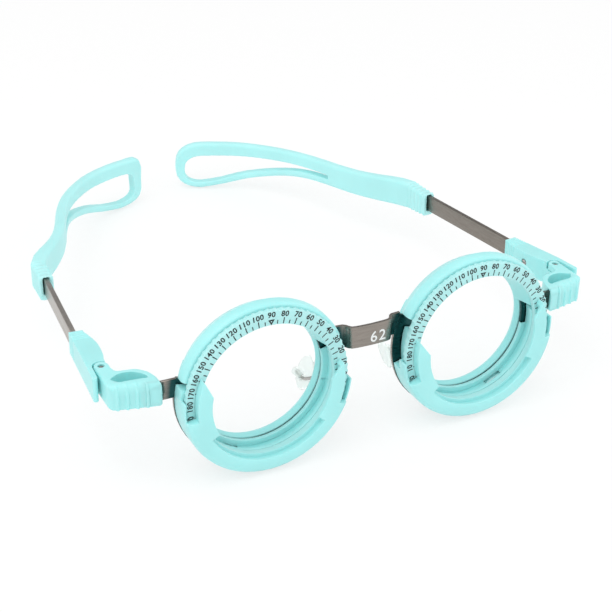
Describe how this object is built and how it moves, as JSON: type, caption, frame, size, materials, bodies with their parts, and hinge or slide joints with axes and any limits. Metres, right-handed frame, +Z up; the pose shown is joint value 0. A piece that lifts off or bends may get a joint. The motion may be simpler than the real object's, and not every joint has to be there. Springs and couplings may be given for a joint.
{
  "type": "optical trial frame",
  "caption": "Spectacle-like trial frame: turning scale dials in lens holders, a bent steel bridge, folding temples with sliding ear loops, and tilting nose pads.",
  "frame": {"origin": "centre of the bounding box's underside, on the table that the frame stands on", "axes": "+X to the wearer's left, +Y from the lenses back along the temples, +Z up"},
  "size_m": [0.1448, 0.164, 0.0467],
  "materials": {
    "aqua_plastic": "smooth moulded, pale aqua",
    "aqua_silicone": "soft satin, pale aqua",
    "clear_silicone": "clear, soft",
    "spring_steel": "polished, warm grey",
    "steel_pin": "polished",
    "dark_spring": "dark, oiled"
  },
  "bodies": {
    "front": {"metal_front": "spring_steel", "rear_ring_right": "aqua_plastic", "rear_ring_left": "aqua_plastic", "lens_holder_right": "aqua_plastic", "lens_holder_left": "aqua_plastic", "lens_spring_right": "dark_spring", "lens_spring_left": "dark_spring", "end_block_right": "aqua_plastic", "end_block_left": "aqua_plastic", "hinge_pin_right": "steel_pin", "hinge_pin_left": "steel_pin", "pad_arm_right": "steel_pin", "pad_arm_left": "steel_pin"},
    "dial_right": {"scale_dial_right": "aqua_plastic"},
    "dial_left": {"scale_dial_left": "aqua_plastic"},
    "temple_right": {"temple_sleeve_right": "aqua_plastic", "temple_strip_right": "spring_steel", "sleeve_screw_right": "steel_pin"},
    "temple_left": {"temple_sleeve_left": "aqua_plastic", "temple_strip_left": "spring_steel", "sleeve_screw_left": "steel_pin"},
    "ear_right": {"ear_loop_right": "aqua_silicone"},
    "ear_left": {"ear_loop_left": "aqua_silicone"},
    "pad_right": {"nose_pad_right": "clear_silicone"},
    "pad_left": {"nose_pad_left": "clear_silicone"}
  },
  "joints": [
    {"name": "dial_spin_right", "type": "hinge", "parent": "front", "child": "dial_right", "pos_m": [-0.031, -0.07814, 0.02361], "axis": [0, 0.9987, -0.0519], "continuous": true},
    {"name": "dial_spin_left", "type": "hinge", "parent": "front", "child": "dial_left", "pos_m": [0.031, -0.07814, 0.02361], "axis": [0, 0.9987, -0.0519], "continuous": true},
    {"name": "temple_fold_right", "type": "hinge", "parent": "front", "child": "temple_right", "pos_m": [-0.0684, -0.0598, 0.02576], "axis": [0, 0.0519, 0.9987], "range_deg": [-28, 2]},
    {"name": "temple_fold_left", "type": "hinge", "parent": "front", "child": "temple_left", "pos_m": [0.0684, -0.0598, 0.02576], "axis": [0, 0.0519, 0.9987], "range_deg": [-2, 20]},
    {"name": "ear_slide_right", "type": "slide", "parent": "temple_right", "child": "ear_right", "axis": [0.0923, 0.9924, -0.0813], "range_m": [-0.0004, 0.0072]},
    {"name": "ear_slide_left", "type": "slide", "parent": "temple_left", "child": "ear_left", "axis": [-0.0923, 0.9924, -0.0813], "range_m": [-0.006, 0.0014]},
    {"name": "pad_tilt_right", "type": "hinge", "parent": "front", "child": "pad_right", "pos_m": [-0.0141, -0.06183, 0.01385], "axis": [0, 0.9987, -0.0519], "range_deg": [-8, 8]},
    {"name": "pad_tilt_left", "type": "hinge", "parent": "front", "child": "pad_left", "pos_m": [0.0141, -0.06183, 0.01385], "axis": [0, 0.9987, -0.0519], "range_deg": [-8, 8]}
  ]
}
